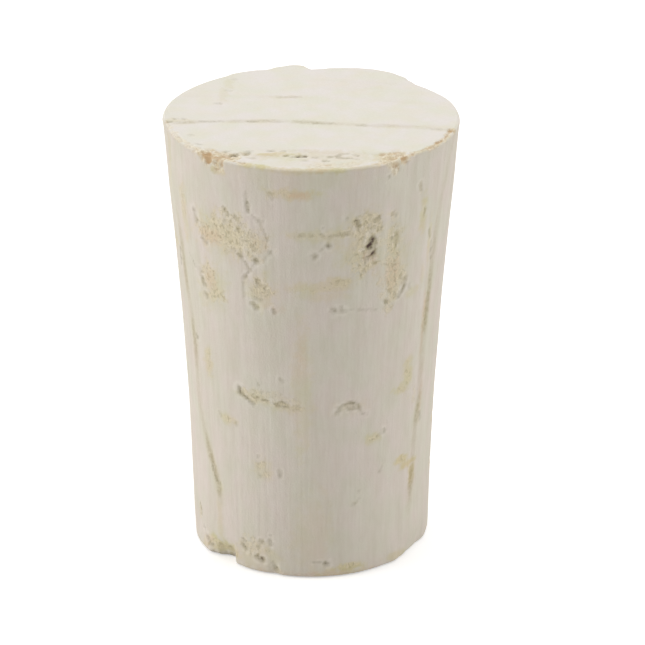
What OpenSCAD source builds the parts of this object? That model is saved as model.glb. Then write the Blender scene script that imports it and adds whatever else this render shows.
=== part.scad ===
// A tapered stopper cut from one block of natural cork.
// It stands on its narrow foot, with the origin at the centre of the foot and
// +Z up the plug. The front of the plug is -Y, and every angle below is
// counted from the front, positive towards +X.

/* [Plug] */
// Diameter of the wide top
top_d = 25; // [23:0.1:28]
// Diameter at half height, which gives the side its slight flare
waist_d = 21.8; // [21:0.1:22.6]
// Diameter of the narrow foot
foot_d = 20.4; // [18:0.1:20.8]
// Length from foot to top
length = 38; // [30:0.5:50]
// Radius of the worn edge round the foot
foot_round = 0.5; // [0.1:0.05:0.8]

/* [Growth lines] */
// Angle by which the tree's growth lines are turned from the front of the plug
ring_turn = -5; // [-20:1:20]
// Distance from the plug's axis to the middle line
middle_line = 1.9; // [0:0.1:5]
// Distance from the plug's axis to the line near the front
front_line = 9.2; // [8:0.1:10]
// Width of a line
line_w = 0.25; // [0.1:0.05:0.5]
// Depth of a line
line_deep = 0.3; // [0.1:0.05:0.8]

/* [Rim] */
// Radius of the swellings that the blade left at the back of the rim
lobe_r = 2.5; // [2:0.1:3]
// Height over which a swelling fades into the side
lobe_fade = 6; // [4:0.5:10]
// Height over which a shallow scoop in the rim fades out
scoop_fade = 5; // [3:0.5:8]
// Depth of the crumbs missing where the front line meets the rim
crumb_deep = 0.8; // [0.4:0.1:1.2]
// Radius of one crumb
crumb_r = 0.9; // [0.6:0.1:1.3]
// Height of one crumb
crumb_h = 1.4; // [0.8:0.1:2.5]

/* [Foot] */
// Depth of the chip in the foot, towards the axis
chip_deep = 0.9; // [0.4:0.05:1.4]
// Radius of the chip
chip_r = 1.2; // [0.8:0.1:2]
// Height of the chip
chip_h = 1.6; // [1:0.1:3]
// Depth of the long worn place at the right of the foot
worn_deep = 0.3; // [0.1:0.05:0.6]
// Radius of that worn place
worn_r = 3.2; // [2:0.1:5]
// Height of that worn place
worn_h = 2.5; // [1:0.1:4]

/* [Lenticels] */
// Diameter of the ball that would just fill a lenticel, the bark's own pore
pore_d = 1.8; // [1.2:0.1:2.4]
// Depth of a lenticel below the side
pore_deep = 0.3; // [0.1:0.05:0.5]

/* [Hidden] */

cork = "#DED6C6";

top_r = top_d / 2;
waist_r = waist_d / 2;
foot_r = foot_d / 2;
pore_r = pore_d / 2;

// Straight bands that make up the flare of the side
side_bands = 8;
// Straight steps in the worn edge of the foot
edge_steps = 3;
// Lengths by which the solids run out past the flat ends. No two share a
// length, so that no two of their ends meet face to face
plug_past = 1;
lobe_past = 0.5;
line_past = 1.5;
scoop_past = 2;
chip_past = 2.5;
// Depth below the side at which a swelling ends, out of sight
hidden = 0.4;

// [angle, how far it stands out], for the swellings of the rim
LOBES = [[-172, 0.75], [-153, 0.3], [152, 0.75], [160, 0.55]];

// [angle, depth, radius], for the scoops in the rim: the notch comes first
SCOOPS = [[180, 0.65, 0.75], [176, 0.4, 2.5], [131, 0.5, 4], [42, 0.35, 3], [-77, 0.35, 4]];

// Angles at which crumbs are missing, at the two ends of the front line
CRUMBS = [-45, -37, 30, 36];

// [angle, share of the length from the foot], for the lenticels
LENTICELS = [
    [-46, 0.80], [-37, 0.815], [-28, 0.80], [-51, 0.68], [-23, 0.70],
    [20, 0.845], [25, 0.79], [37, 0.70], [10, 0.72],
    [-33, 0.45], [-14, 0.43], [16, 0.42], [27, 0.345], [-26, 0.28], [48, 0.25],
    [-33, 0.08], [20, 0.08], [150, 0.72], [-160, 0.55], [170, 0.30],
];

// Radius of the side at a share u of the length: the flare is the parabola
// through the foot, the waist and the top
function side_r(u) =
    foot_r * (1 - u) * (1 - 2 * u) + waist_r * 4 * u * (1 - u) + top_r * u * (2 * u - 1);

// Puts its children on the side at an angle and a height, with their +X
// pointing out of the plug
module on_side(angle, z, r) {
    rotate([0, 0, angle - 90]) translate([r, 0, z]) children();
}

// The turned plug, before its top is cut flat and anything is missing from it
module plug() {
    worn_edge = [
        for (i = [0 : edge_steps])
            let (a = 90 * i / edge_steps)
                [foot_r - foot_round * (1 - sin(a)), foot_round * (1 - cos(a))]
    ];
    bands = [
        for (i = [1 : side_bands])
            let (u = i / side_bands) [side_r(u), u * length]
    ];
    rotate_extrude($fn = 128)
        polygon(concat([[0, 0]], worn_edge, bands, [[top_r, length + plug_past], [0, length + plug_past]]));
}

// A swelling of the rim: a cone that narrows downwards until the side hides it
module lobe(angle, out) {
    centre = top_r + out - lobe_r;
    low_r = side_r(1 - lobe_fade / length) - hidden - centre;
    on_side(angle, length - lobe_fade, centre)
        cylinder(
            h = lobe_fade + lobe_past,
            r1 = low_r,
            r2 = lobe_r + (lobe_r - low_r) * lobe_past / lobe_fade,
            $fn = 64
        );
}

// A scoop in the rim, deepest at the top and narrower down to its height h
module scoop(angle, deep, r, h) {
    on_side(angle, length - h, top_r - deep + r)
        cylinder(h = h + scoop_past, r1 = r / 2, r2 = r * (1 + scoop_past / h / 2), $fn = 64);
}

// A chip in the foot, deepest at the bottom
module foot_chip(angle, deep, r, h) {
    on_side(angle, -chip_past, foot_r - deep + r)
        cylinder(h = h + chip_past, r1 = r * (1 + chip_past / h / 2), r2 = r / 2, $fn = 64);
}

// The line of one growth ring across the top
module growth_line(from_axis) {
    rotate([0, 0, ring_turn])
        translate([-top_d, -from_axis - line_w / 2, length - line_deep])
            cube([2 * top_d, line_w, line_deep + line_past]);
}

// One lenticel, a shallow part of a ball
module lenticel(angle, share) {
    on_side(angle, share * length, side_r(share) + pore_d / 2 - pore_deep)
        sphere(d = pore_d, $fn = 48);
}

module cork_stopper() {
    color(cork)
        difference() {
            union() {
                plug();
                for (l = LOBES) lobe(l[0], l[1]);
            }
            translate([-top_d, -top_d, length]) cube(2 * top_d);
            for (s = SCOOPS) scoop(s[0], s[1], s[2], scoop_fade);
            for (angle = CRUMBS) scoop(angle, crumb_deep, crumb_r, crumb_h);
            for (y = [middle_line, front_line]) growth_line(y);
            for (l = LENTICELS) lenticel(l[0], l[1]);
            foot_chip(-47, chip_deep, chip_r, chip_h);
            foot_chip(60, worn_deep, worn_r, worn_h);
        }
}

cork_stopper();
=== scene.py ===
"""A tapered stopper of natural cork, standing on its narrow foot.

The stopper is one piece. Its shape is spun from a half section and then worked
like the real one: chipped, scored along its growth rings and pitted where the
bark's own pores, the lenticels, come out. Lengths are in millimetres until the
mesh is finished, and angles are counted from the front (-Y), positive towards +X.
"""

import math
import random

import bmesh
import bpy
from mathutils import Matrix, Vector, noise


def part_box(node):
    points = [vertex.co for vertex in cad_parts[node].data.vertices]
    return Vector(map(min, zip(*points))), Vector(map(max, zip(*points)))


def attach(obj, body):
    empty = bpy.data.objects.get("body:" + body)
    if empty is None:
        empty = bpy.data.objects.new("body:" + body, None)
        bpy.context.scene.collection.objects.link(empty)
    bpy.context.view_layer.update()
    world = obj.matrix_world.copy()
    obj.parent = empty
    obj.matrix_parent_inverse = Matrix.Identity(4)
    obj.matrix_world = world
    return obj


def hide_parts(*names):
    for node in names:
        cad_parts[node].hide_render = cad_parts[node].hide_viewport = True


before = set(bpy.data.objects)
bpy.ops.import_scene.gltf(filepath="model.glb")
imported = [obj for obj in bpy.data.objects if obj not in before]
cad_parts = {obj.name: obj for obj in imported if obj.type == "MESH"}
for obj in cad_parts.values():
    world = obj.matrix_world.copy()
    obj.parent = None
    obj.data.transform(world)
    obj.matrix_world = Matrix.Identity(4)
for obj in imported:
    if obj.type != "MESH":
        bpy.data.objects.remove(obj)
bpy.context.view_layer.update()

# The plug.
# One block of natural cork, punched from the bark so that the tree's growth
# rings stand on edge, ground to a taper and cut flat at both ends.

MM = 0.001
plug_low, plug_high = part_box("cork_stopper")
LENGTH = (plug_high.z - plug_low.z) / MM
TOP_R = (plug_high.x - plug_low.x) / 2 / MM
# Half way up, where the side's flare shows
WAIST_R = 10.9
FOOT_R = 10.2
RIM_ROUND = 0.25
FOOT_ROUND = 0.35

COLUMNS = 356
SIDE_ROWS = 196
TOP_ROWS = 58
FOOT_ROWS = 12
EDGE_ROWS = 4
# The power by which the rows of the flat ends crowd towards their edges
ROW_CROWDING = 1.5
# How much closer the columns stand at the front, where the finest marks are
FRONT_CROWDING = 0.4
# Points nearer than this are merged, as at the two poles
MERGED = 0.0005


def side_r(z):
    """Radius of the side at a height: a parabola through foot, waist and top."""
    u = min(max(z / LENGTH, 0), 1)
    return (
        FOOT_R * (1 - u) * (1 - 2 * u)
        + WAIST_R * 4 * u * (1 - u)
        + TOP_R * u * (2 * u - 1)
    )


def rise(low, high, value):
    """0 below low, 1 above high, and smooth between them."""
    t = min(max((value - low) / (high - low), 0), 1)
    return t * t * (3 - 2 * t)


def turn_between(angle, other):
    """The turn from one angle to another, between -180 and 180 degrees."""
    return (angle - other + 180) % 360 - 180


# The half section has a straight row of points between each corner and the next,
# as (how many, the power by which they crowd)
plug = bmesh.new()
corners = [
    (0, 0),
    (FOOT_R - FOOT_ROUND, 0),
    (FOOT_R, FOOT_ROUND),
    (TOP_R, LENGTH - RIM_ROUND),
    (TOP_R - RIM_ROUND, LENGTH),
    (0, LENGTH),
]
rows = [
    (FOOT_ROWS, 1 / ROW_CROWDING),
    (EDGE_ROWS, 1),
    (SIDE_ROWS, 1),
    (EDGE_ROWS, 1),
    (TOP_ROWS, ROW_CROWDING),
]
tip = plug.verts.new((0, 0, 0))
for (x, z), (next_x, next_z), (count, crowding) in zip(corners, corners[1:], rows):
    for i in range(1, count + 1):
        share = (i / count) ** crowding
        point = (x + (next_x - x) * share, 0, z + (next_z - z) * share)
        before, tip = tip, plug.verts.new(point)
        plug.edges.new((before, tip))
# Then the two edges are rounded about their centres, and the side gets its flare
foot_centre = Vector((FOOT_R - FOOT_ROUND, 0, FOOT_ROUND))
rim_centre = Vector((TOP_R - RIM_ROUND, 0, LENGTH - RIM_ROUND))
for v in plug.verts:
    if v.co.x > foot_centre.x and v.co.z < foot_centre.z:
        v.co = foot_centre + (v.co - foot_centre).normalized() * FOOT_ROUND
    elif v.co.x > rim_centre.x and v.co.z > rim_centre.z:
        v.co = rim_centre + (v.co - rim_centre).normalized() * RIM_ROUND
    elif foot_centre.z < v.co.z < rim_centre.z:
        v.co.x = side_r(v.co.z)
bmesh.ops.spin(
    plug,
    geom=plug.verts[:] + plug.edges[:],
    cent=(0, 0, 0),
    axis=(0, 0, 1),
    angle=math.tau,
    steps=COLUMNS,
    use_merge=True,
)
bmesh.ops.remove_doubles(plug, verts=plug.verts[:], dist=MERGED)
bmesh.ops.recalc_face_normals(plug, faces=plug.faces[:])

# Its two edges are not round: the blade left swellings and a notch at the back
# of the rim, and the foot is chipped at the left and worn at the right. Each
# pair is an angle and how far the edge stands out there.

RIM_SHAPE = [
    (-180, -0.6), (-176, 0.6), (-173, 0.78), (-167, 0.45), (-162, 0), (-155, 0.25),
    (-148, 0.3), (-143, 0.05), (-110, 0), (-90, -0.1), (-77, -0.35), (-57, -0.2),
    (-40, 0), (28, 0.05), (42, -0.35), (61, -0.15), (110, -0.15), (124, -0.4),
    (131, -0.5), (136, -0.2), (142, 0.35), (149, 0.7), (156, 0.74), (161, 0.55),
    (166, 0.25), (171, 0), (176, -0.4), (180, -0.6),
]
FOOT_SHAPE = [
    (-180, 0), (-90, -0.1), (-66, 0.2), (-58, 0.25), (-53, -0.1), (-49, -0.75), (-43, -1.15),
    (-41, -1.05), (-39.6, 0), (-30, 0.1), (-22, 0.05), (-18, -0.1), (-14, 0.1), (20, 0.1),
    (38, 0.05), (44, 0.1), (50, -0.1), (57, -0.3), (65, -0.3), (74, 0), (180, 0),
]
# The heights over which the two shapes fade into the side, and the power by which
# they fade towards the middle of the flat ends
RIM_FADE = 6
FOOT_FADE = 2.2
INWARD_FADE = 6
# A point this close to the axis, or to the height of the flat top, lies on it
TOUCHING = 0.01


def edge_shape(shape, angle):
    """How far an edge stands out at an angle, smooth between the pairs."""
    for (a, out_a), (b, out_b) in zip(shape, shape[1:]):
        if a <= angle <= b:
            return out_a + (out_b - out_a) * rise(a, b, angle)
    return 0


for v in plug.verts:
    r = math.hypot(v.co.x, v.co.y)
    if r < TOUCHING:
        continue
    turn = math.atan2(v.co.x, -v.co.y)
    turn -= FRONT_CROWDING * math.sin(turn)
    angle = math.degrees(turn)
    rim_share = rise(LENGTH - RIM_FADE, LENGTH, v.co.z)
    foot_share = 1 - rise(0, FOOT_FADE, v.co.z)
    out = edge_shape(RIM_SHAPE, angle) * rim_share + edge_shape(FOOT_SHAPE, angle) * foot_share
    r += out * (r / side_r(v.co.z)) ** INWARD_FADE
    v.co.x = r * math.sin(turn)
    v.co.y = -r * math.cos(turn)
plug.normal_update()

# The marks of the bark. The growth rings are nearly flat sheets that lean forward
# towards the foot, so each is a line across the top and down either side. Lenticels
# run through from front to back, and end in grainy yellow spots, some with holes.

# (where a ring crosses the top, measured along Y; how strongly it shows there and
# on the side)
RINGS = [(-9.4, 0.2, 0.1), (-8.4, 0.15, 0), (-1.6, 0.5, 0.85), (4.6, 0.05, 0.4), (9, 0.04, 0.4)]
RING_W = 0.3
# How far a ring leans forward just below the top and again near the foot
TOP_LEAN = 3.1
FOOT_LEAN = 1.3

# Ovals on the side, as (angle, height, half width, half height, strength).
# First the lenticels, with their grainy filling
LENTICELS = [
    # The large patch at the upper left, and those under it
    (-46, 30.9, 1.3, 0.9, 1), (-38.5, 31.3, 1.7, 1.4, 1), (-31.5, 31.2, 1.4, 1.7, 1),
    (-31, 32.8, 1.2, 0.6, 0.8), (-25.5, 31, 1.1, 1.3, 0.8), (-24.5, 29.8, 1, 0.8, 0.6),
    (-36.5, 33.4, 0.5, 0.5, 0.8), (-47, 26.9, 0.9, 1.2, 0.8), (-44.5, 25.3, 1.2, 0.8, 0.8),
    (-21.5, 27, 0.9, 0.9, 1), (-24, 25.4, 0.4, 0.5, 0.4), (-21, 31, 0.9, 1.4, 0.5),
    # The two patches with the dark holes at the upper right
    (20.5, 32.3, 0.9, 1.5, 1), (25.2, 32.4, 1, 1.1, 1), (22.5, 30.7, 1.2, 1.3, 1),
    (21.8, 29.2, 1.2, 1, 1), (34.8, 30.8, 0.9, 1.5, 0.9), (34, 28.7, 0.8, 1, 0.9),
    (35.5, 26.9, 1.2, 1.5, 0.9), (39, 27.3, 0.7, 1.2, 0.8), (33.5, 24.7, 0.5, 0.7, 0.7),
    (34.5, 33, 0.6, 0.6, 0.5),
    # Small ones between them
    (-15.5, 35.6, 0.5, 0.5, 0.4), (-9.5, 35.8, 0.8, 0.3, 0.5), (0, 32, 1.6, 0.25, 0.4),
    (6.5, 32, 1.3, 0.3, 0.6), (13.5, 32.1, 1.1, 0.4, 0.7), (4, 27.2, 1.7, 0.3, 0.5),
    (11, 27.7, 0.8, 0.35, 0.8),
    # Half way up
    (-31.2, 17, 0.5, 0.4, 0.9), (-27.3, 16.6, 0.6, 0.4, 0.9), (-14, 16.3, 1.1, 0.28, 1),
    (-7.2, 16.1, 0.7, 0.28, 0.85), (-41.5, 13.9, 0.7, 0.25, 0.7), (-52, 18.6, 0.35, 0.9, 0.5),
    (-20, 16.5, 1, 0.25, 0.8), (-21, 17.1, 1.7, 0.5, 0.5), (-13, 16.8, 1.6, 0.4, 0.45),
    (18, 16.1, 1.1, 0.35, 0.4), (29.5, 12.7, 0.5, 0.3, 0.7), (48.2, 17.8, 0.35, 1.1, 0.7),
    (44.5, 16.6, 0.6, 0.35, 0.5), (-23, 10.4, 0.5, 0.5, 0.6), (-21.5, 9.6, 0.4, 0.4, 0.5),
    (20.5, 6.9, 0.6, 0.3, 0.3), (47.5, 9.7, 0.8, 0.5, 0.5), (55, 8.2, 0.7, 0.7, 0.5),
    # At the foot
    (-50, 1.1, 1.8, 0.5, 0.8), (-29, 2.3, 1.6, 0.9, 0.6), (18.5, 0.9, 1, 0.25, 0.8),
    (-69, 3.3, 0.3, 0.9, 0.8),
    # Near the left and right outlines
    (-62.5, 32.5, 0.4, 1.4, 0.5), (51, 32.5, 0.25, 0.7, 0.7), (48, 34.8, 0.25, 0.6, 0.5),
    (58, 22.6, 0.3, 1.8, 0.5), (54, 15.4, 0.3, 0.9, 0.5),
    # The larger ones at the back
    (149, 27.5, 1.7, 1.3, 0.9), (153, 25.4, 0.8, 0.8, 0.8), (-160, 20.7, 1.6, 0.9, 0.9),
    (-155, 21.8, 1, 0.6, 0.7), (172, 14, 1.4, 0.4, 0.8), (-176, 31, 1.3, 0.9, 0.7),
    (-147, 8, 0.9, 1.2, 0.7), (127, 7, 2.2, 0.6, 0.8), (-118, 13, 2.5, 0.5, 0.8),
]
# The yellow stains, most of them round a lenticel
STAINS = [
    (-38, 31.1, 3.4, 2, 0.35), (22.5, 31.2, 2.2, 2.8, 0.4), (36, 28.8, 1.4, 3.2, 0.25),
    (-46, 26.2, 1.6, 1.8, 0.4), (-21, 26.7, 1.4, 1.5, 0.4), (3, 27.3, 2.8, 0.5, 0.5),
    (5, 26.6, 2, 0.5, 0.3), (11, 27.8, 1, 0.5, 0.6), (-8, 35.8, 2.2, 0.5, 0.6),
    (6, 32, 3.4, 0.6, 0.4), (50.5, 32, 0.45, 2, 0.6), (46, 25.4, 0.9, 0.5, 0.4),
    (35.3, 30.4, 0.4, 1.3, 0.6), (56.5, 29.4, 0.25, 2, 0.5), (53.5, 26.5, 0.3, 1, 0.4),
    (-62, 31.8, 0.6, 2.6, 0.4), (-4.3, 18, 0.8, 6, 0.3), (-1, 4, 1.5, 3, 0.2),
    (-52, 18.4, 0.6, 1.3, 0.5), (48, 17.6, 0.6, 1.6, 0.6), (44.5, 16.6, 0.8, 0.6, 0.6),
    (-29, 16.8, 1.4, 0.5, 0.4), (-11, 16.1, 2.2, 0.5, 0.4), (-42, 13.9, 1, 0.5, 0.5),
    (29, 12.7, 0.8, 0.5, 0.5), (18, 16, 1.6, 0.8, 0.2), (-22.5, 10, 0.9, 1, 0.35),
    (2, 4.5, 1.2, 4, 0.2), (47, 9.7, 0.7, 0.5, 1), (51.5, 9, 1.1, 0.4, 1), (55.3, 7.9, 0.5, 1, 1),
    (-49, 7, 0.5, 0.5, 0.4), (-49.5, 4, 0.4, 2.5, 0.3), (18.5, 0.8, 1.7, 0.3, 1),
    (16, 0.3, 2.5, 0.3, 0.5), (-50, 1.1, 2.2, 0.8, 0.8), (-27, 1.4, 2.2, 1.4, 0.3),
    (46, 0.5, 1.3, 0.5, 0.5), (-50, 24.8, 0.9, 1.2, 0.3), (-77, 35.5, 0.6, 2.5, 0.3),
    (149, 27, 2.4, 2.4, 0.4), (-159, 21, 2.4, 1.8, 0.4), (172, 14, 2.2, 0.8, 0.5),
    (-176, 30.7, 1.8, 1.4, 0.3), (-147, 8, 1.2, 1.6, 0.6), (130, 7, 2.5, 1, 0.4),
]
# Reddish places, where the bark is woodier
WOODY = [
    (-4.5, 35.7, 0.9, 0.4, 0.8), (-45, 30.6, 1.3, 0.8, 0.5), (-46.5, 26.6, 0.7, 0.9, 0.4),
    (24.3, 29.8, 0.6, 0.5, 0.8), (34.6, 27.6, 0.9, 1.5, 0.4), (57, 22, 0.3, 3.5, 0.5),
    (59.8, 15, 0.3, 2, 0.4), (2, 0.2, 5, 0.4, 0.5), (-59, 1.2, 0.5, 0.4, 0.5),
    (-15, 25.2, 0.8, 0.4, 0.3), (-21, 30.8, 0.8, 1.2, 0.25), (-4, 21, 0.4, 1.6, 0.25),
]
# Ridges, where the blade tore the bark up: raised a little, and painted pale as a highlight
RIDGES = [
    (30.3, 31.5, 0.3, 2.6, 0.3), (31.2, 27.3, 0.3, 2.5, 0.25), (-24.5, 32.3, 0.3, 0.9, 0.3),
    (-27.5, 30.6, 0.3, 0.7, 0.25), (54, 26, 0.25, 8, 0.2), (-26.5, 26.5, 0.2, 0.9, 0.25),
]

# Dark cracks and holes, and a line of painted shade along the foot's edge, as
# (angle, height, angle, height, half width, depth)
CRACKS_AND_FOOT_SHADE = [
    # Round the grainy patch at the upper left
    (-53.6, 32.5, -52.6, 31.6, 0.17, 0.45), (-36.4, 33.7, -34.5, 33.1, 0.13, 0.45),
    (-31.2, 33.1, -29.8, 32.7, 0.14, 0.4), (-50.2, 30.2, -48.7, 30.1, 0.15, 0.45),
    (-47.5, 29.9, -46.7, 29.9, 0.12, 0.3), (-33.4, 30.2, -30.7, 29.7, 0.08, 0.35),
    (-30.7, 29.7, -28.7, 29.5, 0.14, 0.5), (-28.7, 29.5, -25.5, 28.5, 0.1, 0.35),
    (-22.7, 29.5, -22.5, 29.4, 0.2, 0.5), (-22.7, 29.4, -25.5, 28.5, 0.12, 0.4),
    (-25.5, 28.5, -28.5, 27.7, 0.12, 0.45), (-16.6, 30.4, -16.4, 30.3, 0.17, 0.45),
    (-18.7, 29.8, -18.5, 29.7, 0.12, 0.3), (-25.8, 35.5, -25.6, 34.7, 0.1, 0.2),
    (-25.6, 34.7, -24.8, 33.8, 0.14, 0.5), (-24.8, 33.8, -21.4, 33.1, 0.1, 0.3),
    (-21, 33.1, -20, 33, 0.18, 0.35), (-19.9, 32.7, -17.2, 31.4, 0.08, 0.25),
    (-30.2, 32.1, -29.9, 32.1, 0.14, 0.4), (-35.9, 32.5, -35.7, 32.5, 0.13, 0.35),
    (-28, 31.1, -27.5, 31.1, 0.12, 0.35), (-15.7, 35.8, -15, 35.2, 0.12, 0.3),
    (-27, 32.4, -24.7, 31.2, 0.06, 0.25), (-24.2, 31.2, -22.6, 30.4, 0.06, 0.25),
    # Under it
    (-53.7, 27.1, -53.1, 26.9, 0.14, 0.35), (-52.4, 26.4, -50.8, 25.7, 0.17, 0.5),
    (-51, 25.2, -50, 24.7, 0.15, 0.35), (-72.2, 27.7, -72.7, 26.1, 0.14, 0.4),
    (-61.3, 28.1, -57.1, 27.2, 0.07, 0.25), (-57.1, 27.2, -53.6, 26.8, 0.09, 0.3),
    (-22.4, 27.6, -21, 27.2, 0.17, 0.4), (-19.7, 27, -19.5, 26.9, 0.12, 0.3),
    (-29.1, 27.2, -28.7, 26, 0.1, 0.25), (-25.1, 25.5, -23.8, 25.1, 0.18, 0.5),
    (-23.9, 25.9, -21.2, 25.9, 0.12, 0.35), (-16.3, 25.1, -15.9, 25, 0.16, 0.45),
    (-62.8, 33.2, -62.5, 33, 0.12, 0.25), (-61.3, 20.4, -60.5, 20.3, 0.13, 0.35),
    # The dotted line across the front, and the spots under it
    (-4.4, 32.1, -2.8, 32.1, 0.1, 0.3), (-0.9, 32.1, 0.3, 32.1, 0.09, 0.25),
    (3.8, 32.2, 4.9, 32, 0.13, 0.4), (7, 32, 7.6, 32, 0.12, 0.4),
    (9.7, 32, 10.2, 32, 0.12, 0.4), (13.4, 32.1, 14.2, 32, 0.12, 0.35),
    (4.5, 32.8, 4.7, 32.8, 0.09, 0.25), (13.4, 33.6, 13.6, 33.5, 0.11, 0.3),
    (6.1, 31.2, 6.9, 31.1, 0.15, 0.45), (3.4, 30.7, 4.6, 31, 0.08, 0.25),
    (0.7, 30.3, 1.4, 30.2, 0.19, 0.4), (8.8, 25.3, 9.6, 25.1, 0.17, 0.45),
    (12.4, 25.2, 13.4, 25.1, 0.17, 0.45), (15.3, 25.2, 28, 24.8, 0.06, 0.2),
    # The dark holes at the upper right
    (18, 33.1, 18.4, 32.6, 0.15, 0.6), (17.6, 33.7, 17.8, 33.5, 0.1, 0.3),
    (25.8, 32.9, 27.5, 33.1, 0.15, 0.4), (24.2, 32.5, 24.7, 32.4, 0.14, 0.35),
    (24.9, 31.3, 23.8, 30.7, 0.26, 1), (25.8, 30.8, 25.6, 30.6, 0.16, 0.5),
    (25.7, 30.1, 24.9, 29.8, 0.18, 0.75), (24.9, 29.8, 22.6, 29.6, 0.16, 0.65),
    (22.6, 29.6, 22, 29.2, 0.1, 0.45), (20.7, 30.3, 22.6, 30.2, 0.07, 0.35),
    (35.8, 31.4, 36, 30.2, 0.12, 0.35), (33.7, 31.1, 34.3, 30.9, 0.1, 0.3),
    (42.2, 26.9, 42, 26.2, 0.16, 0.4), (42, 26.2, 39.2, 25.5, 0.15, 0.5),
    (44.7, 26.1, 45.4, 25.8, 0.12, 0.25), (32, 25.4, 32.8, 25.2, 0.15, 0.4),
    (33.4, 33.3, 35.4, 33, 0.1, 0.25), (30.3, 36.7, 30.5, 36.6, 0.13, 0.5),
    (47.8, 35.1, 48.2, 34.6, 0.14, 0.4), (50.9, 32.8, 51.3, 32.2, 0.12, 0.35),
    (55.4, 30.5, 56.7, 29.8, 0.13, 0.35), (58.3, 29.4, 58.9, 27.8, 0.08, 0.25),
    # Half way up
    (-33.9, 17.2, -33.2, 16.8, 0.2, 0.6), (-33.2, 16.8, -26.9, 16, 0.12, 0.55),
    (-27.2, 17, -24.3, 16.7, 0.07, 0.35), (-24.3, 18.1, -21.8, 17.2, 0.06, 0.25),
    (-21.9, 16.6, -18.1, 16.5, 0.07, 0.3), (-18.1, 16.5, -14.5, 16.2, 0.11, 0.45),
    (-14.5, 16.2, -5.5, 16.3, 0.08, 0.4), (-16.3, 16.7, -9.5, 16.5, 0.06, 0.3),
    (-13.3, 18.7, -12.7, 18.6, 0.17, 0.25), (-36.5, 13.8, -36, 13.6, 0.12, 0.15),
    (-46.9, 14.2, -45.7, 13.9, 0.1, 0.25), (11.7, 15.7, 12.3, 16, 0.17, 0.5),
    (12.3, 16, 13.9, 16.3, 0.13, 0.4), (15.5, 16.4, 17.8, 16.5, 0.12, 0.35),
    (17.8, 16.5, 20.7, 16.3, 0.14, 0.45), (16.5, 15.9, 18.4, 15.8, 0.13, 0.4),
    (18.4, 15.8, 20.3, 15.9, 0.12, 0.4), (21.2, 16.1, 22.2, 15.7, 0.12, 0.35),
    (22.3, 15.4, 25.7, 15.1, 0.12, 0.3), (35.1, 13.3, 35.4, 13, 0.14, 0.4),
    (31.9, 12.8, 34.1, 13, 0.08, 0.25), (60.1, 13.2, 61.4, 12.7, 0.16, 0.3),
    (33.2, 9.3, 34.5, 9.7, 0.1, 0.2), (19.4, 6.7, 21.4, 6.9, 0.12, 0.25),
    (21.4, 6.9, 23.9, 7.3, 0.1, 0.15), (22.3, 7.9, 23.3, 8, 0.08, 0.15),
    # Near the foot
    (-57.3, 9.9, -54.8, 8.8, 0.05, 0.25), (-54.8, 8.8, -50.5, 7.3, 0.08, 0.45),
    (-49.4, 7.2, -48, 7.2, 0.12, 0.25), (-25.8, 11.1, -25, 11.1, 0.1, 0.25),
    (-24.5, 9.4, -24, 9.2, 0.11, 0.25), (-15, 10, -14.1, 9.6, 0.14, 0.35),
    (-69, 3.8, -67.4, 2.9, 0.12, 0.25), (-64.6, 1.9, -63, 1.7, 0.11, 0.35),
    (-60.4, 1.3, -58, 1, 0.17, 0.65), (-58, 0.9, -56.2, 0.8, 0.14, 0.5),
    # Painted shade: the first line here, along the foot's edge at the left, is no crack but the
    # shade under that edge
    (-56, 0.1, -42, 0.1, 0.2, 0.5), (-34.7, 2.8, -33.5, 2.6, 0.12, 0.35),
    (-34.7, 2.2, -33, 1.9, 0.15, 0.5), (-25.2, 3.1, -23.6, 3, 0.12, 0.4),
    (-20, 3.8, -19.5, 3.7, 0.1, 0.3), (-20, 3.3, -19.3, 2.9, 0.14, 0.45),
    (-26.3, 2.4, -25.3, 2.4, 0.12, 0.35), (-26.7, 1.4, -23.8, 1.3, 0.18, 0.65),
    (-19.1, 1.1, -18.1, 0.9, 0.11, 0.35), (-18.1, 0.9, -16.2, 0.3, 0.14, 0.45),
    (0.8, 1.5, 5.1, 1.5, 0.07, 0.35), (6.8, 1.3, 7.7, 1.3, 0.16, 0.6),
    # At the back
    (146, 27.4, 147.5, 26.8, 0.22, 0.9), (151, 28.6, 152.5, 28.2, 0.14, 0.5),
    (155, 24.6, 153, 24, 0.13, 0.4), (-164, 21, -162.5, 20.4, 0.2, 0.7),
    (-158, 21.8, -155, 22, 0.12, 0.4), (166, 14.1, 178, 13.9, 0.1, 0.4),
    (-179, 31.7, -176, 31.2, 0.14, 0.45), (-173, 30.3, -171, 30.2, 0.12, 0.35),
    (-148, 8.8, -147, 7.2, 0.12, 0.45), (120, 7, 130, 7.2, 0.1, 0.4),
]

# The same on the flat top: stains, as (x, y, half width, half depth, strength)
TOP_STAINS = [
    (-2.6, -9, 1.8, 0.5, 0.8), (0.1, -8, 0.9, 0.25, 0.3), (8.2, -2.6, 3, 0.35, 0.2),
    (0, -9.4, 5.5, 1.2, 0.3),
    (-7, 8, 0.4, 1.7, 0.25), (-7.5, 5, 0.45, 2, 0.25), (-2, 4.7, 2, 0.4, 0.25),
    (-11.2, -1, 1, 0.5, 0.4), (0, -10.9, 4.6, 0.8, 0.12), (6.3, -9.3, 1.3, 0.7, 0.4),
    (4, 7.5, 2.5, 1.5, 0.1),
]
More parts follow.
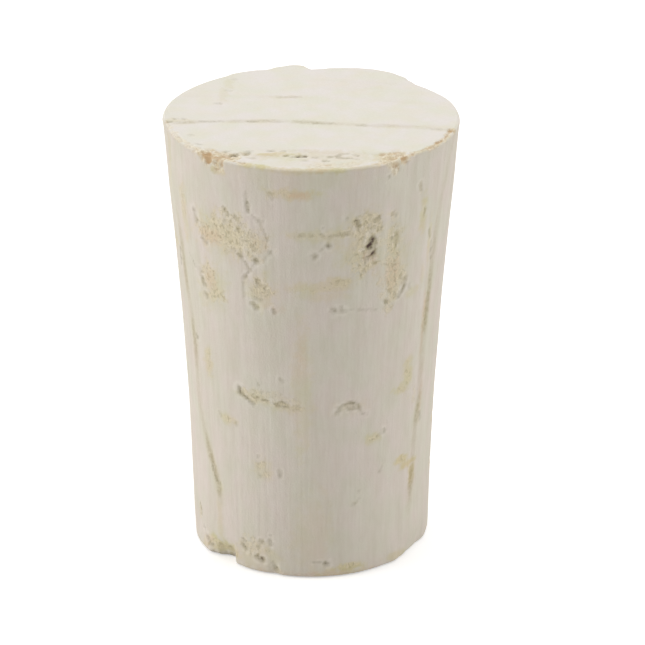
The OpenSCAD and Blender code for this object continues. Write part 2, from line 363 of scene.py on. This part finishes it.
# and cracks, as (x, y, x, y, half width, depth)
TOP_CRACKS = [
    # Along the middle ring
    (-12.1, -1.4, -11.7, -1.3, 0.15, 0.45), (-11.3, -0.6, -10.6, -0.6, 0.15, 0.3),
    (-9.3, -1.3, -7.5, -1.3, 0.15, 0.25), (-5.2, -1.3, -4.6, -1.3, 0.15, 0.25),
    (-3.3, -1.5, -2.4, -1.5, 0.13, 0.2), (0.2, -1.7, 1.7, -1.8, 0.13, 0.15),
    (3.8, -2.2, 4.5, -2.3, 0.15, 0.2), (10, -3.1, 10.7, -3.2, 0.15, 0.15),
    # Near the front
    (-6.3, -8.9, -6, -8.8, 0.2, 0.6), (-6.9, -8.3, -6.5, -8.1, 0.12, 0.4),
    (-5.3, -8.9, -5, -8.4, 0.25, 0.4), (-5, -9.8, -4.5, -9.8, 0.15, 0.2),
    (-3.5, -8.2, -3.1, -8.2, 0.15, 0.45), (-2.4, -8.2, -2.2, -8.2, 0.12, 0.25),
    (-2.1, -9.2, -1.9, -9.2, 0.17, 0.6), (-1.5, -9.5, -1.3, -9.5, 0.13, 0.4),
    (-1.1, -9.4, -0.5, -9.4, 0.16, 0.85), (-0.6, -10.5, -0.3, -10.5, 0.14, 0.25),
    (0.2, -9.8, 0.5, -9.8, 0.14, 0.25), (1, -10.5, 1.3, -10.5, 0.17, 0.35),
    (1.4, -9.6, 1.6, -9.6, 0.15, 0.3), (2.1, -9.4, 2.4, -9, 0.13, 0.35),
    (2.4, -8.9, 3, -8.8, 0.12, 0.35), (3, -8.8, 3.7, -9.3, 0.1, 0.3),
    (2.2, -9.7, 3.2, -9.9, 0.15, 0.45), (3.2, -9.9, 3.8, -10.1, 0.1, 0.25),
    # Stray ones
    (-2.8, 4.7, -0.9, 4.7, 0.14, 0.2), (-8, 3.2, -7.7, 3.1, 0.17, 0.25),
    (-7.2, 6.4, -7, 6.3, 0.15, 0.15), (-6.7, 9.2, -6.5, 9.1, 0.15, 0.15),
    (-10, -4.5, -9.8, -4.6, 0.17, 0.25), (-9.2, -6.6, -9, -6.7, 0.15, 0.25),
]

# Ovals at the rim, as (angle, how far from the edge, half width, half depth,
# strength). From the edge, the way in over the top is positive and the way down
# the side is negative. First the places where the cork is loose
LOOSE = [
    (-44, 0.2, 1, 0.9, 1), (-39.5, 0.5, 1.1, 1, 1), (-36, 1, 1, 0.9, 0.9),
    (-33.5, 0.9, 0.8, 0.8, 0.8), (-30, 0.2, 0.9, 0.25, 0.8), (-37.5, -0.6, 0.6, 0.7, 0.9),
    (-31, 2.2, 0.5, 0.4, 0.5), (33, 0.9, 1, 0.8, 0.8), (36.5, 0.8, 0.9, 0.9, 0.9),
    (38.5, 0.1, 0.7, 0.6, 0.9), (33, -0.3, 0.6, 0.6, 0.8), (27, 0.2, 1.1, 0.3, 0.6),
    (33.5, -1, 0.35, 0.4, 0.6), (29, 0.5, 0.8, 0.5, 0.5), (43, 0.1, 0.7, 0.3, 0.7),
    (48, 0.15, 0.8, 0.25, 0.6), (53, 0.1, 0.8, 0.25, 0.7), (58, 0.15, 0.8, 0.3, 0.7),
    (64, 0.2, 0.9, 0.3, 0.6), (70, 0.3, 0.8, 0.3, 0.6), (73.5, 0.3, 0.5, 0.35, 0.8),
    (-78, 0.1, 1.2, 0.3, 0.35), (-70, 0.15, 1.2, 0.35, 0.4), (-62, 0.2, 1.2, 0.35, 0.45),
    (-55, 0.2, 1.1, 0.35, 0.45), (-49.5, 0.2, 0.8, 0.4, 0.6), (5, 0.9, 1.6, 0.7, 0.35),
    (14, 0.7, 1.4, 0.7, 0.35),
]
# The hollows where crumbs are gone, painted brown: the brown of the bared cork, with painted shade
# in it
SHADED_HOLLOWS = [
    (-44, 0.45, 0.35, 0.35, 1), (-42.5, -0.35, 0.4, 0.35, 1), (-44.5, 0, 0.3, 0.3, 0.8),
    (-40, 0.35, 0.45, 0.2, 0.6), (-37.8, 0.75, 0.3, 0.25, 0.6), (-34.7, 0.85, 0.2, 0.2, 0.6),
    (-35.3, -0.2, 0.15, 0.25, 0.6), (-41, 0, 0.5, 0.15, 0.5), (-36.3, 1, 0.4, 0.3, 0.5),
    (37.6, 0.05, 0.5, 0.25, 0.7), (39.3, 1.3, 0.3, 0.2, 0.4), (36.2, 1.3, 0.25, 0.2, 0.3),
    (32.6, 1.9, 0.3, 0.2, 0.4), (33.9, -0.4, 0.12, 0.25, 0.6), (31.5, 0.2, 0.4, 0.2, 0.3),
    (29, 0.2, 0.3, 0.15, 0.3),
    (43, 0.1, 0.3, 0.2, 0.5), (49, 0.2, 0.4, 0.15, 0.4), (53, 0.1, 0.4, 0.15, 0.5),
    (60, 0.2, 0.5, 0.25, 0.7), (66, 0.25, 0.4, 0.2, 0.4), (72.8, 0.35, 0.3, 0.25, 0.9),
    (6, 1.1, 0.3, 0.15, 0.4), (-84, 0.1, 0.3, 0.2, 0.3),
]
# Yellow and reddish places at the rim. The first five yellow ones lay a yellow-olive band
# along the front of the edge and just under it.
RIM_TINTS = [
    (-20.5, 0.1, 1.5, 0.4, 0.9), (-5, 0, 3.6, 0.45, 0.6), (9.5, 0, 0.8, 0.4, 0.8),
    (20, 0, 1.9, 0.35, 0.5), (-5, -0.9, 6, 1, 0.12), (-38, -1, 0.8, 0.5, 0.8),
    (-37, 0.4, 2, 1, 0.3), (33, 0.6, 1.8, 0.9, 0.4), (57, 0.1, 4.5, 0.25, 0.5),
]
RIM_WOODY = [(3, 0.05, 1, 0.3, 0.5), (53, 0, 0.8, 0.3, 0.6), (38, 0.1, 0.6, 0.4, 0.5)]


def noise_at(place, per_mm):
    """Smooth noise from -1 to 1 at a place, with about per_mm lumps to a millimetre."""
    return noise.noise([c * per_mm for c in place])


def ring_y(at_top, x, z):
    """Where a growth ring stands along Y: it leans forward as it goes down."""
    down = LENGTH - z
    lean = TOP_LEAN * (1 - math.exp(-down / 4)) + FOOT_LEAN * rise(22, 32, down)
    turned = 0.075 * rise(6, 14, z) - 0.045 + 0.055 * max(z / LENGTH, 0) ** 1.5
    bowed = 0.0055 * x * x
    wander = 0.35 * noise.noise((x * 0.25, z * 0.16, at_top))
    return at_top - turned * x - bowed - lean + wander


def off_ring(at_top, place, facing):
    """Distance from a ring's line, measured along a surface that faces facing."""
    x, y, z = place
    here = ring_y(at_top, x, z)
    step = 0.3
    slope = Vector((
        (here - ring_y(at_top, x + step, z)) / step,
        1,
        (here - ring_y(at_top, x, z + step)) / step,
    ))
    slope -= slope.dot(facing) * facing
    return abs(y - here) / max(slope.length, 0.15)


def off_segment(u, w, end_u, end_w):
    """Distance of (u, w) from the segment between the origin and (end_u, end_w)."""
    length_2 = max(end_u * end_u + end_w * end_w, 1e-6)
    t = min(max((u * end_u + w * end_w) / length_2, 0), 1)
    return math.hypot(u - t * end_u, w - t * end_w)


def apart(place, other, r):
    """How far place is from another, in mm. With a radius r, both start with an angle."""
    if r:
        return math.radians(turn_between(place[0], other[0])) * r, place[1] - other[1]
    return place[0] - other[0], place[1] - other[1]


# The shares of an oval's size between which its mark fades out
OVAL_FADE = (0.5, 1.4)
# In half widths of a crack, how far its dark shade and the painted highlight on its lip reach
SHADE_W = 2.2
LIP_HIGHLIGHT_W = 4
# How far noise shifts the edge of a crack
CRACK_ROUGH = 0.25
# Beyond this distance, nothing shows of a crack or a ring
REACH = 1


def in_ovals(ovals, place, r, rough):
    """How strongly the strongest of some ovals shows at a place."""
    most = 0
    for a, b, half_w, half_h, strength in ovals:
        if abs(place[1] - b) < 2 * half_h:
            u, w = apart(place, (a, b), r)
            d = math.hypot(u / half_w, w / half_h) + rough
            most = max(most, strength * (1 - rise(*OVAL_FADE, d)))
    return most


def in_cracks_and_shade(cracks, place, r, rough):
    """How deep the deepest of some cracks and painted shade lines is at a place, and the painted
    highlight beside them there.
    """
    dark = lip_highlight = 0
    for a, b, end_a, end_b, half_w, depth in cracks:
        if abs(place[1] - b) > REACH + abs(end_b - b):
            continue
        u, w = apart(place, (a, b), r)
        end = apart((end_a, end_b), (a, b), r)
        if abs(u) > REACH + abs(end[0]):
            continue
        d = (off_segment(u, w, *end) + CRACK_ROUGH * rough) / half_w
        dark = max(dark, depth * (1 - rise(0, SHADE_W, d)))
        lip_highlight = max(lip_highlight, depth * rise(1, SHADE_W, d) * (1 - rise(SHADE_W, LIP_HIGHLIGHT_W, d)))
    return dark, lip_highlight


# The sides and the back have plainer lenticels, of which the strongest are cracked.
# They run through the plug along Y, so those in its flanks are cut lengthways.
BACK_LENTICELS = 45
rng = random.Random(8)
for _ in range(BACK_LENTICELS):
    angle, height = turn_between(rng.uniform(84, 276), 0), rng.uniform(2, 36)
    size, strength = rng.uniform(0.3, 1.1), rng.uniform(0.4, 1)
    lengthways = abs(math.sin(math.radians(angle)))
    LENTICELS.append((angle, height, size * (1 + 1.6 * lengthways), size * 0.45, strength))
    STAINS.append((angle, height, size * (1.3 + 1.8 * lengthways), size * 0.8, strength * 0.4))
    if strength > 0.6:
        span = math.degrees(size / side_r(height))
        CRACKS_AND_FOOT_SHADE.append((angle, height, angle + span, height + 0.2, 0.12, 0.5))

# Lumps to a millimetre in what makes the marks ragged, grainy and crumbly, and in
# the filling's own pits
RAGGED, GRAINY, CRUMBLY, PITTED = 1.6, 4.3, 2.6, 2.9
# The rim's marks lie within this distance of its edge
RIM_BAND = 4
# Within this distance of it, crumbs are lost slantwise, towards a ring inside the
# plug, so that a deep crumb doesn't fold the narrow edge over itself
SLANT_REACH = 1.2

MARKS = ("cut face", "filling", "yellow_tint", "woody", "crack_and_shade", "painted_highlight", "line", "loose", "shaded_hollow")
layers = {name: plug.verts.layers.float.new(name) for name in MARKS}
for v in plug.verts:
    x, y, z = v.co
    r = math.hypot(x, y)
    angle = math.degrees(math.atan2(x, -y))
    # 1 on the side and 0 on the flat ends, by the way that the surface faces
    on_side = 1 - rise(0.3, 0.9, abs(v.normal.z))
    on_top = z > LENGTH - TOUCHING
    ragged = noise_at(v.co, RAGGED)
    grit = noise_at(v.co, GRAINY)
    lumps = rise(-0.3, 0.35, noise_at(v.co, CRUMBLY))
    rough = 0.6 * ragged + 0.4 * grit

    # What shows here: the lenticels, stains and cracks
    show = dict.fromkeys(MARKS, 0)
    show["cut face"] = 1 - on_side
    crack_and_shade = lip_highlight = ridge = 0
    if on_top:
        show["yellow_tint"] = in_ovals(TOP_STAINS, (x, y), None, rough)
        crack_and_shade, lip_highlight = in_cracks_and_shade(TOP_CRACKS, (x, y), None, rough)
    elif r > side_r(z) - 1:
        show["filling"] = in_ovals(LENTICELS, (angle, z), r, rough)
        show["yellow_tint"] = in_ovals(STAINS, (angle, z), r, rough)
        show["woody"] = in_ovals(WOODY, (angle, z), r, rough)
        ridge = in_ovals(RIDGES, (angle, z), r, rough)
        crack_and_shade, lip_highlight = in_cracks_and_shade(CRACKS_AND_FOOT_SHADE, (angle, z), r, rough)
    show["crack_and_shade"] = crack_and_shade * (0.6 + 0.4 * lumps)
    # Painted highlight: pale beside each crack, where a raised lip would catch the light, and on
    # the ridges
    show["painted_highlight"] = max(lip_highlight * (1 - lumps), ridge)

    # the broken rim
    if z > LENGTH - RIM_BAND and r > TOP_R - RIM_BAND:
        over = z - LENGTH
        if on_top:
            over = TOP_R + edge_shape(RIM_SHAPE, angle) - r
        show["loose"] = in_ovals(LOOSE, (angle, over), r, rough)
        shaded_hollow = in_ovals(SHADED_HOLLOWS, (angle, over), r, rough)
        # Painted shade: brown also where the loose cork is sunk deepest, darker in its pits
        show["shaded_hollow"] = max(shaded_hollow, 0.5 * show["loose"] ** 2 * rise(0.6, 1, lumps))
        show["yellow_tint"] = max(show["yellow_tint"], in_ovals(RIM_TINTS, (angle, over), r, rough))
        show["woody"] = max(show["woody"], in_ovals(RIM_WOODY, (angle, over), r, rough))

    # and the growth rings, which on the side are faint near the rim and end above
    # the foot
    on_flank = rise(1, 9, z) * (1 - 0.8 * rise(25, 32, z))
    for at_top, top_strength, side_strength in RINGS:
        if abs(y - ring_y(at_top, x, z)) > REACH:
            continue
        gap = off_ring(at_top, v.co, v.normal) + 0.3 * RING_W * (ragged + grit)
        broken = 0.3 + 0.7 * rise(-0.3, 0.4, noise.noise((x * 0.5, z * 0.3, at_top)))
        broken *= 1 - on_side * (1 - on_flank)
        broken *= top_strength + (side_strength - top_strength) * on_side
        show["line"] = max(show["line"], broken * (1 - rise(RING_W * 0.3, RING_W * 1.8, gap)))
        show["yellow_tint"] = max(show["yellow_tint"], 0.3 * broken * (1 - rise(0.2, 0.9, gap)))

    for name, layer in layers.items():
        v[layer] = show[name]

    # How far the surface is sunk, in mm: the blade's coarse and fine scratches, a
    # slight unevenness, and then the marks
    coarse = noise.noise((angle * 0.9, 3.1, z * 0.05))
    fine = noise.noise((angle * 2.3, 7.7, z * 0.09))
    sink = 0.02 * (coarse + 0.6 * fine) * on_side
    sink += 0.03 * noise.noise((x * 0.3, y * 0.3, z * 0.2))
    sink += show["filling"] * (0.03 + 0.05 * noise_at(v.co, PITTED))
    sink += show["crack_and_shade"] * (0.1 + 0.15 * show["crack_and_shade"]) + 0.02 * show["line"] - 0.1 * ridge
    sink += show["loose"] * (0.04 + 0.12 * lumps + 0.06 * grit) + 0.15 * show["shaded_hollow"]
    if on_side < 1:
        sink = max(sink, 0)
    outward = v.normal
    if z > LENGTH - SLANT_REACH and r > TOP_R - SLANT_REACH:
        inner = (TOP_R - SLANT_REACH) / r
        outward = (v.co - Vector((x * inner, y * inner, LENGTH - SLANT_REACH))).normalized()
    v.co -= outward * sink

bmesh.ops.scale(plug, vec=(MM, MM, MM), verts=plug.verts[:])
mesh = bpy.data.meshes.new("cork_plug")
plug.to_mesh(mesh)
plug.free()
for face in mesh.polygons:
    face.use_smooth = True
cork_plug = bpy.data.objects.new("cork_plug", mesh)
bpy.context.collection.objects.link(cork_plug)

# Natural cork, ground and unwaxed.
# Pale cream and quite matt. Blade marks run down the side, cells too small to
# see make a fine even grain, and the lenticels hold a yellow, crumbly filling.


def linear(hex_colour):
    """An sRGB hex colour as the linear colour that the shader wants."""
    channels = [int(hex_colour[i : i + 2], 16) / 255 for i in (1, 3, 5)]
    return [c / 12.92 if c <= 0.04045 else ((c + 0.055) / 1.055) ** 2.4 for c in channels] + [1]


def add_node(tree, kind, settings, links):
    """Adds a node. Settings name its properties and its sockets' values, and
    links name the outputs that feed its sockets. A number picks a socket."""
    node = tree.nodes.new(kind)
    for name, value in settings.items():
        if isinstance(name, int) or name in node.inputs:
            node.inputs[name].default_value = value
        else:
            setattr(node, name, value)
    for name, output in links.items():
        tree.links.new(output, node.inputs[name])
    return node


natural_cork = bpy.data.materials.new("natural_cork")
natural_cork.use_nodes = True
tree = natural_cork.node_tree
tree.nodes.clear()
on_cork = add_node(tree, "ShaderNodeTexCoord", {}, {}).outputs["Object"]

# (size across in mm, stretch along Z, detail, roughness, range that is spread
# over 0 to 1). The streaks are drawn a little coarser than the real ones, which
# are too fine to show.
GRAIN = {
    "cloud": (2.2, 1.3, 1, 0.5, 0.35, 0.65),
    "mottle": (0.7, 2, 1, 0.5, 0.38, 0.62),
    "streak": (0.32, 14, 2, 0.6, 0.32, 0.68),
    "scratch": (0.16, 10, 2, 0.5, 0.3, 0.7),
    "cells": (0.16, 1, 2, 0.5, 0.3, 0.7),
    "bands": (1, 18, 1, 0.5, 0.38, 0.62),
    "specks": (0.32, 1, 2, 0.6, 0.36, 0.64),
    "grit": (0.28, 1.2, 1, 0.5, 0.52, 0.62),
    "rust": (1.6, 1, 1, 0.5, 0.45, 0.65),
}
grain = {}
for name, (size, stretch, detail, roughness, low, high) in GRAIN.items():
    along = add_node(tree, "ShaderNodeMapping", {"Scale": (1, 1, 1 / stretch)}, {"Vector": on_cork})
    cloudy = add_node(
        tree,
        "ShaderNodeTexNoise",
        {"Scale": 1 / (size * MM), "Detail": detail, "Roughness": roughness},
        {"Vector": along.outputs["Vector"]},
    )
    spread = add_node(
        tree,
        "ShaderNodeMapRange",
        {"From Min": low, "From Max": high},
        {"Value": cloudy.outputs["Fac"]},
    )
    grain[name] = spread.outputs["Result"]

# The marks, whose edges the specks break up, as (attribute, share of the specks,
# range over which the mark comes in, how far it covers the cork)
MARK_EDGES = {
    "cut face": ("cut face", 0, 0, 1, 1),
    "yellow_tint": ("yellow_tint", 0.3, 0, 1, 0.85),
    "filling": ("filling", 0.9, 0.1, 1.1, 0.9),
    "woody": ("woody", 0.9, 0, 1, 0.45),
    "line": ("line", 0.6, 0, 1, 0.65),
    "loose": ("loose", 0.6, 0.05, 0.7, 0.9),
    "shaded_hollow": ("shaded_hollow", 0.6, 0.05, 0.8, 1),
    "painted_highlight": ("painted_highlight", 0.5, 0, 0.4, 0.35),
    "crack_and_shade": ("crack_and_shade", 0.7, 0, 0.5, 0.65),
    "hole_and_shade": ("crack_and_shade", 0.5, 0.42, 0.8, 1),
}
mark = {}
for name, (attribute, speck_share, low, high, cover) in MARK_EDGES.items():
    source = add_node(tree, "ShaderNodeAttribute", {"attribute_name": attribute}, {})
    speckled = add_node(
        tree,
        "ShaderNodeMath",
        {"operation": "MULTIPLY_ADD", 1: speck_share, 2: 1 - speck_share / 2},
        {0: grain["specks"]},
    )
    broken_up = add_node(
        tree,
        "ShaderNodeMath",
        {"operation": "MULTIPLY"},
        {0: source.outputs["Fac"], 1: speckled.outputs["Value"]},
    )
    ranged = add_node(
        tree,
        "ShaderNodeMapRange",
        {"From Min": low, "From Max": high, "To Max": cover},
        {"Value": broken_up.outputs["Value"]},
    )
    mark[name] = ranged.outputs["Result"]

# Each set starts from a colour, and lays others over it as (where they show, how
# far, what): what is a colour or the name of an earlier set
COLOURS = {
    # Painted light: the flat ends are the same cork as the side. Their paler, cooler colour stands
    # for the light from above, and the side's warmer colour for warm bounce light at the front.
    "flat end": ["#E6E3D5", (grain["cloud"], 1, "#EAE4DE"), (grain["rust"], 0.25, "#E9E0CA")],
    "tint": ["#D0C790", (grain["cloud"], 1, "#D8C79C")],
    "crumbs": ["#D8CAA5", (grain["specks"], 0.7, "#EADEC6"), (grain["grit"], 0.6, "#A99D77")],
    "rubble": ["#D9C7A4", (grain["specks"], 0.9, "#F1E8D4"), (grain["grit"], 0.5, "#BFA783")],
    "cork": [
        "#DAD5C4",
        (grain["cloud"], 1, "#E0D4CA"),
        (grain["mottle"], 0.15, "#CDC1AC"),
        (grain["bands"], 0.2, "#C9BFAB"),
        (grain["streak"], 0.3, "#EAE3D7"),
        (grain["scratch"], 0.1, "#CBC1B0"),
        # Painted light: the paler colour of the flat ends, lit from above
        (mark["cut face"], 1, "flat end"),
        (grain["cells"], 0.12, "#CFC3AE"),
        (mark["yellow_tint"], 1, "tint"),
        (mark["filling"], 1, "crumbs"),
        (mark["woody"], 1, "#D8B395"),
        (mark["line"], 1, "#A3946F"),
        (mark["loose"], 1, "rubble"),
        # Brown of the hollows, partly painted shade
        (mark["shaded_hollow"], 1, "#C3A57F"),
        # Painted highlight on the lips of cracks and on the ridges
        (mark["painted_highlight"], 1, "#F0E8DC"),
        # The crack colour and, at its darkest, the hole colour; these also lay the painted shade
        # along the foot's edge
        (mark["crack_and_shade"], 1, "#938A6E"),
        (mark["hole_and_shade"], 1, "#5F4C43"),
    ],
}
# A Mix node has sockets for each type of data, and these are the ones for colours
FACTOR, UNDER, OVER, RESULT = 0, 6, 7, 2
mixed = {}
for name, (colour, *laid_over) in COLOURS.items():
    for where, share, what in laid_over:
        scaled = add_node(tree, "ShaderNodeMath", {"operation": "MULTIPLY", 1: share}, {0: where})
        settings, links = {"data_type": "RGBA"}, {FACTOR: scaled.outputs["Value"]}
        for socket, value in ((UNDER, colour), (OVER, mixed.get(what, what))):
            if isinstance(value, str):
                settings[socket] = linear(value)
            else:
                links[socket] = value
        colour = add_node(tree, "ShaderNodeMix", settings, links).outputs[RESULT]
    mixed[name] = colour

# The relief, as (where, height in mm), added up from the first to the last
crumbled = add_node(
    tree, "ShaderNodeMath", {"operation": "MULTIPLY"}, {0: grain["specks"], 1: mark["filling"]}
)
RELIEF = [
    (grain["cells"], 0.01),
    (grain["streak"], 0.006),
    (grain["scratch"], 0.004),
    (crumbled.outputs["Value"], 0.035),
]
so_far = {}
for where, height in RELIEF:
    raised = add_node(
        tree,
        "ShaderNodeMath",
        {"operation": "MULTIPLY_ADD", 1: height, 2: 0},
        {0: where, **so_far},
    )
    so_far = {2: raised.outputs["Value"]}
bump = add_node(tree, "ShaderNodeBump", {"Distance": MM}, {"Height": raised.outputs["Value"]})
surface = add_node(
    tree,
    "ShaderNodeBsdfPrincipled",
    {"Roughness": 0.8, "IOR": 1.45, "Specular IOR Level": 0.5},
    {"Base Color": mixed["cork"], "Normal": bump.outputs["Normal"]},
)
add_node(tree, "ShaderNodeOutputMaterial", {}, {"Surface": surface.outputs["BSDF"]})
mesh.materials.append(natural_cork)

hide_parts("cork_stopper")
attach(cork_plug, "root")

# The floor.
# A sheet of white paper that is lifted to plain white for the camera, and still shows
# a soft shadow. It lies a hair below the foot, so that the two don't share a plane.

FLOOR_HALF = 280
HAIR = 0.05
floor_mesh = bmesh.new()
bmesh.ops.create_grid(floor_mesh, x_segments=1, y_segments=1, size=FLOOR_HALF * MM)
bmesh.ops.translate(floor_mesh, vec=(0, 0, -HAIR * MM), verts=floor_mesh.verts[:])
floor_data = bpy.data.meshes.new("floor")
floor_mesh.to_mesh(floor_data)
floor_mesh.free()
floor = bpy.data.objects.new("floor", floor_data)
bpy.context.collection.objects.link(floor)

white_sheet = bpy.data.materials.new("white_sheet")
white_sheet.use_nodes = True
tree = white_sheet.node_tree
tree.nodes.clear()
# How much brighter than the paper the camera sees it
LIFT = 0.4
ray = add_node(tree, "ShaderNodeLightPath", {}, {})
paper = add_node(tree, "ShaderNodeBsdfDiffuse", {"Color": linear("#F3F3F3")}, {})
lift = add_node(
    tree, "ShaderNodeMath", {"operation": "MULTIPLY", 1: LIFT}, {0: ray.outputs["Is Camera Ray"]}
)
glow = add_node(
    tree, "ShaderNodeEmission", {"Color": linear("#FFFFFF")}, {"Strength": lift.outputs["Value"]}
)
both = add_node(
    tree, "ShaderNodeAddShader", {}, {0: paper.outputs["BSDF"], 1: glow.outputs["Emission"]}
)
add_node(tree, "ShaderNodeOutputMaterial", {}, {"Surface": both.outputs["Shader"]})
floor_data.materials.append(white_sheet)

# The light.
# A white room, which is plain white where it is seen and dimmer as a light, and
# three soft boxes: one above, and a stronger one at the left than at the right.

ROOM_LIGHT = 0.386
room = bpy.data.worlds.new("white_room")
room.use_nodes = True
bpy.context.scene.world = room
tree = room.node_tree
tree.nodes.clear()
ray = add_node(tree, "ShaderNodeLightPath", {}, {})
seen = ray.outputs["Is Camera Ray"]
for kind in ("Is Glossy Ray", "Is Transmission Ray"):
    either = add_node(
        tree, "ShaderNodeMath", {"operation": "MAXIMUM"}, {0: seen, 1: ray.outputs[kind]}
    )
    seen = either.outputs["Value"]
brightness = add_node(tree, "ShaderNodeMapRange", {"To Min": ROOM_LIGHT}, {"Value": seen})
sky = add_node(
    tree,
    "ShaderNodeBackground",
    {"Color": linear("#FFFFFF")},
    {"Strength": brightness.outputs["Result"]},
)
add_node(tree, "ShaderNodeOutputWorld", {}, {"Surface": sky.outputs["Background"]})

middle = Vector((0, 0, LENGTH * MM / 2))
# (name, place and width in metres, power in watts)
SOFT_BOXES = [
    ("top_box", (0, 0.08, 0.5), 0.4, 1.05),
    ("left_box", (-0.45, -0.05, 0.18), 0.35, 1.03),
    ("right_box", (0.45, -0.02, 0.18), 0.35, 0.7),
]
for name, position, width, power in SOFT_BOXES:
    data = bpy.data.lights.new(name, "AREA")
    data.size = width
    data.energy = power
    lamp = bpy.data.objects.new(name, data)
    lamp.location = position
    lamp.rotation_euler = (middle - Vector(position)).to_track_quat("-Z", "Y").to_euler()
    bpy.context.collection.objects.link(lamp)

# The camera.
# It stands well back and looks down at the front of the stopper.

VIEW_DOWN = math.radians(23.8)
VIEW_FROM = 0.275
camera_data = bpy.data.cameras.new("camera")
camera_data.lens = 179.3
camera_data.sensor_width = 36
camera_data.shift_x = 0.0173
camera_data.shift_y = 0.0038
camera_data.clip_start = 0.01
camera = bpy.data.objects.new("camera", camera_data)
camera.location = middle + VIEW_FROM * Vector((0, -math.cos(VIEW_DOWN), math.sin(VIEW_DOWN)))
camera.rotation_euler = (math.pi / 2 - VIEW_DOWN, 0, 0)
bpy.context.collection.objects.link(camera)
bpy.context.scene.camera = camera
bpy.context.scene.view_settings.view_transform = "Standard"
